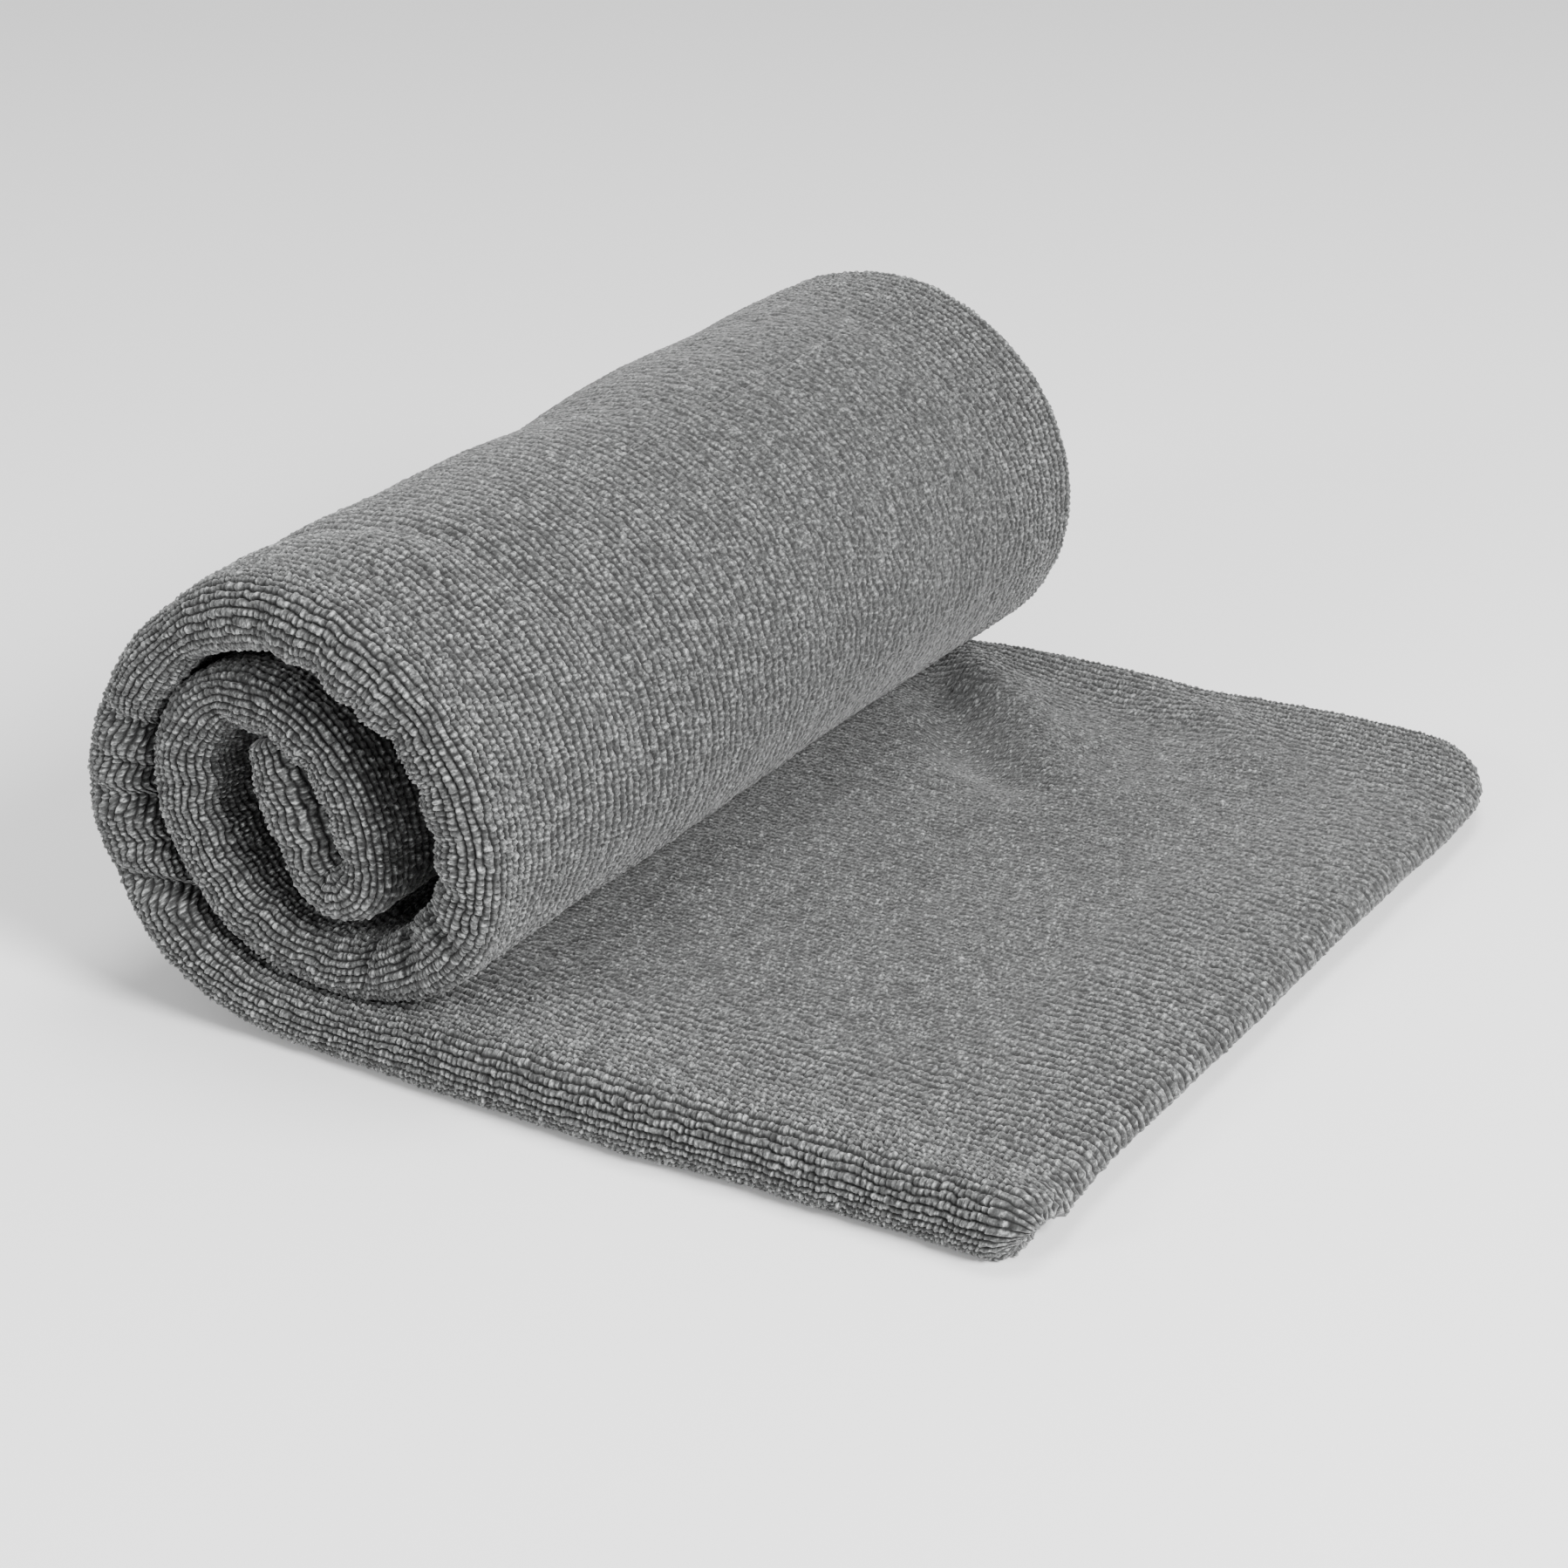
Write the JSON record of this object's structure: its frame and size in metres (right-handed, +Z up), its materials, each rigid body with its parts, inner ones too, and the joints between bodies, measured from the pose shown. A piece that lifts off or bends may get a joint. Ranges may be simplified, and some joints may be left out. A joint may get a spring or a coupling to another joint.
{
  "type": "quick dry towel",
  "caption": "Microfibre terry travel towel, folded in half both ways and rolled up from its hems, with a loose end lying flat; it unrolls flat or wraps shut.",
  "frame": {"origin": "on the floor, under the middle of the towel's bounding box", "axes": "+X from the roll towards the loose end's fold, +Y along the roll from the folded long side to the open hemmed side, +Z up"},
  "size_m": [0.173, 0.2, 0.0816],
  "materials": {
    "towelling": "matte"
  },
  "bodies": {
    "base_panel": {"base_panel": "towelling"},
    "loose_end_1": {"loose_end_1": "towelling"},
    "loose_end_2": {"loose_end_2": "towelling"},
    "loose_end_3": {"loose_end_3": "towelling"},
    "loose_end_4": {"loose_end_4": "towelling"},
    "loose_end_5": {"loose_end_5": "towelling"},
    "loose_end_6": {"loose_end_6": "towelling"},
    "outer_turn_01": {"outer_turn_01": "towelling"},
    "outer_turn_02": {"outer_turn_02": "towelling"},
    "outer_turn_03": {"outer_turn_03": "towelling"},
    "outer_turn_04": {"outer_turn_04": "towelling"},
    "outer_turn_05": {"outer_turn_05": "towelling"},
    "outer_turn_06": {"outer_turn_06": "towelling"},
    "outer_turn_07": {"outer_turn_07": "towelling"},
    "outer_turn_08": {"outer_turn_08": "towelling"},
    "outer_turn_09": {"outer_turn_09": "towelling"},
    "outer_turn_10": {"outer_turn_10": "towelling"},
    "outer_turn_11": {"outer_turn_11": "towelling"},
    "outer_turn_12": {"outer_turn_12": "towelling"},
    "inner_turn_01": {"inner_turn_01": "towelling"},
    "inner_turn_02": {"inner_turn_02": "towelling"},
    "inner_turn_03": {"inner_turn_03": "towelling"},
    "inner_turn_04": {"inner_turn_04": "towelling"},
    "inner_turn_05": {"inner_turn_05": "towelling"},
    "inner_turn_06": {"inner_turn_06": "towelling"},
    "inner_turn_07": {"inner_turn_07": "towelling"},
    "inner_turn_08": {"inner_turn_08": "towelling"},
    "core_fold": {"core_fold": "towelling"}
  },
  "joints": [
    {"name": "wrap_1", "type": "hinge", "parent": "base_panel", "child": "loose_end_1", "pos_m": [-0.0285, 0, 0.0046], "axis": [0, -1, 0], "range_deg": [0, 30]},
    {"name": "wrap_2", "type": "hinge", "parent": "loose_end_1", "child": "loose_end_2", "pos_m": [-0.0085, 0, 0.0046], "axis": [0, -1, 0], "range_deg": [0, 30]},
    {"name": "wrap_3", "type": "hinge", "parent": "loose_end_2", "child": "loose_end_3", "pos_m": [0.0115, 0, 0.0046], "axis": [0, -1, 0], "range_deg": [0, 30]},
    {"name": "wrap_4", "type": "hinge", "parent": "loose_end_3", "child": "loose_end_4", "pos_m": [0.0315, 0, 0.0046], "axis": [0, -1, 0], "range_deg": [0, 25]},
    {"name": "wrap_5", "type": "hinge", "parent": "loose_end_4", "child": "loose_end_5", "pos_m": [0.0515, 0, 0.0046], "axis": [0, -1, 0], "range_deg": [0, 25]},
    {"name": "wrap_6", "type": "hinge", "parent": "loose_end_5", "child": "loose_end_6", "pos_m": [0.0715, 0, 0.0046], "axis": [0, -1, 0], "range_deg": [0, 25]},
    {"name": "unroll_01", "type": "hinge", "parent": "base_panel", "child": "outer_turn_01", "pos_m": [-0.0445, 0, 0.0046], "axis": [0, -1, 0], "range_deg": [0, 15]},
    {"name": "unroll_02", "type": "hinge", "parent": "outer_turn_01", "child": "outer_turn_02", "pos_m": [-0.0632, 0, 0.00961], "axis": [0, -1, 0], "range_deg": [0, 30]},
    {"name": "unroll_03", "type": "hinge", "parent": "outer_turn_02", "child": "outer_turn_03", "pos_m": [-0.07689, 0, 0.0233], "axis": [0, -1, 0], "range_deg": [0, 30]},
    {"name": "unroll_04", "type": "hinge", "parent": "outer_turn_03", "child": "outer_turn_04", "pos_m": [-0.0819, 0, 0.042], "axis": [0, -1, 0], "range_deg": [0, 30]},
    {"name": "unroll_05", "type": "hinge", "parent": "outer_turn_04", "child": "outer_turn_05", "pos_m": [-0.07721, 0, 0.0595], "axis": [0, -1, 0], "range_deg": [0, 30]},
    {"name": "unroll_06", "type": "hinge", "parent": "outer_turn_05", "child": "outer_turn_06", "pos_m": [-0.0644, 0, 0.07231], "axis": [0, -1, 0], "range_deg": [0, 30]},
    {"name": "unroll_07", "type": "hinge", "parent": "outer_turn_06", "child": "outer_turn_07", "pos_m": [-0.0469, 0, 0.077], "axis": [0, -1, 0], "range_deg": [0, 30]},
    {"name": "unroll_08", "type": "hinge", "parent": "outer_turn_07", "child": "outer_turn_08", "pos_m": [-0.0291, 0, 0.07223], "axis": [0, -1, 0], "range_deg": [0, 30]},
    {"name": "unroll_09", "type": "hinge", "parent": "outer_turn_08", "child": "outer_turn_09", "pos_m": [-0.01607, 0, 0.0592], "axis": [0, -1, 0], "range_deg": [0, 30]},
    {"name": "unroll_10", "type": "hinge", "parent": "outer_turn_09", "child": "outer_turn_10", "pos_m": [-0.0113, 0, 0.0414], "axis": [0, -1, 0], "range_deg": [0, 30]},
    {"name": "unroll_11", "type": "hinge", "parent": "outer_turn_10", "child": "outer_turn_11", "pos_m": [-0.01494, 0, 0.0278], "axis": [0, -1, 0], "range_deg": [0, 30]},
    {"name": "unroll_12", "type": "hinge", "parent": "outer_turn_11", "child": "outer_turn_12", "pos_m": [-0.0249, 0, 0.01784], "axis": [0, -1, 0], "range_deg": [0, 30]},
    {"name": "unroll_13", "type": "hinge", "parent": "outer_turn_12", "child": "inner_turn_01", "pos_m": [-0.0385, 0, 0.0142], "axis": [0, -1, 0], "range_deg": [0, 30]},
    {"name": "unroll_14", "type": "hinge", "parent": "inner_turn_01", "child": "inner_turn_02", "pos_m": [-0.054, 0, 0.01835], "axis": [0, -1, 0], "range_deg": [0, 30]},
    {"name": "unroll_15", "type": "hinge", "parent": "inner_turn_02", "child": "inner_turn_03", "pos_m": [-0.06535, 0, 0.0297], "axis": [0, -1, 0], "range_deg": [0, 30]},
    {"name": "unroll_16", "type": "hinge", "parent": "inner_turn_03", "child": "inner_turn_04", "pos_m": [-0.0695, 0, 0.0452], "axis": [0, -1, 0], "range_deg": [0, 37.5]},
    {"name": "unroll_17", "type": "hinge", "parent": "inner_turn_04", "child": "inner_turn_05", "pos_m": [-0.0654, 0, 0.0551], "axis": [0, -1, 0], "range_deg": [0, 45]},
    {"name": "unroll_18", "type": "hinge", "parent": "inner_turn_05", "child": "inner_turn_06", "pos_m": [-0.0555, 0, 0.0592], "axis": [0, -1, 0], "range_deg": [0, 37.5]},
    {"name": "unroll_19", "type": "hinge", "parent": "inner_turn_06", "child": "inner_turn_07", "pos_m": [-0.04515, 0, 0.05643], "axis": [0, -1, 0], "range_deg": [0, 30]},
    {"name": "unroll_20", "type": "hinge", "parent": "inner_turn_07", "child": "inner_turn_08", "pos_m": [-0.03757, 0, 0.04885], "axis": [0, -1, 0], "range_deg": [0, 30]},
    {"name": "unroll_21", "type": "hinge", "parent": "inner_turn_08", "child": "core_fold", "pos_m": [-0.0348, 0, 0.0385], "axis": [0, -1, 0], "range_deg": [0, 15]}
  ],
  "couplings": [
    {"joint": "wrap_2", "follows": "wrap_1", "ratio": 1},
    {"joint": "wrap_3", "follows": "wrap_1", "ratio": 1},
    {"joint": "wrap_4", "follows": "wrap_1", "ratio": 0.83333},
    {"joint": "wrap_5", "follows": "wrap_1", "ratio": 0.83333},
    {"joint": "wrap_6", "follows": "wrap_1", "ratio": 0.83333},
    {"joint": "unroll_02", "follows": "unroll_01", "ratio": 2},
    {"joint": "unroll_03", "follows": "unroll_01", "ratio": 2},
    {"joint": "unroll_04", "follows": "unroll_01", "ratio": 2},
    {"joint": "unroll_05", "follows": "unroll_01", "ratio": 2},
    {"joint": "unroll_06", "follows": "unroll_01", "ratio": 2},
    {"joint": "unroll_07", "follows": "unroll_01", "ratio": 2},
    {"joint": "unroll_08", "follows": "unroll_01", "ratio": 2},
    {"joint": "unroll_09", "follows": "unroll_01", "ratio": 2},
    {"joint": "unroll_10", "follows": "unroll_01", "ratio": 2},
    {"joint": "unroll_11", "follows": "unroll_01", "ratio": 2},
    {"joint": "unroll_12", "follows": "unroll_01", "ratio": 2},
    {"joint": "unroll_13", "follows": "unroll_01", "ratio": 2},
    {"joint": "unroll_14", "follows": "unroll_01", "ratio": 2},
    {"joint": "unroll_15", "follows": "unroll_01", "ratio": 2},
    {"joint": "unroll_16", "follows": "unroll_01", "ratio": 2.5},
    {"joint": "unroll_17", "follows": "unroll_01", "ratio": 3},
    {"joint": "unroll_18", "follows": "unroll_01", "ratio": 2.5},
    {"joint": "unroll_19", "follows": "unroll_01", "ratio": 2},
    {"joint": "unroll_20", "follows": "unroll_01", "ratio": 2},
    {"joint": "unroll_21", "follows": "unroll_01", "ratio": 1}
  ]
}
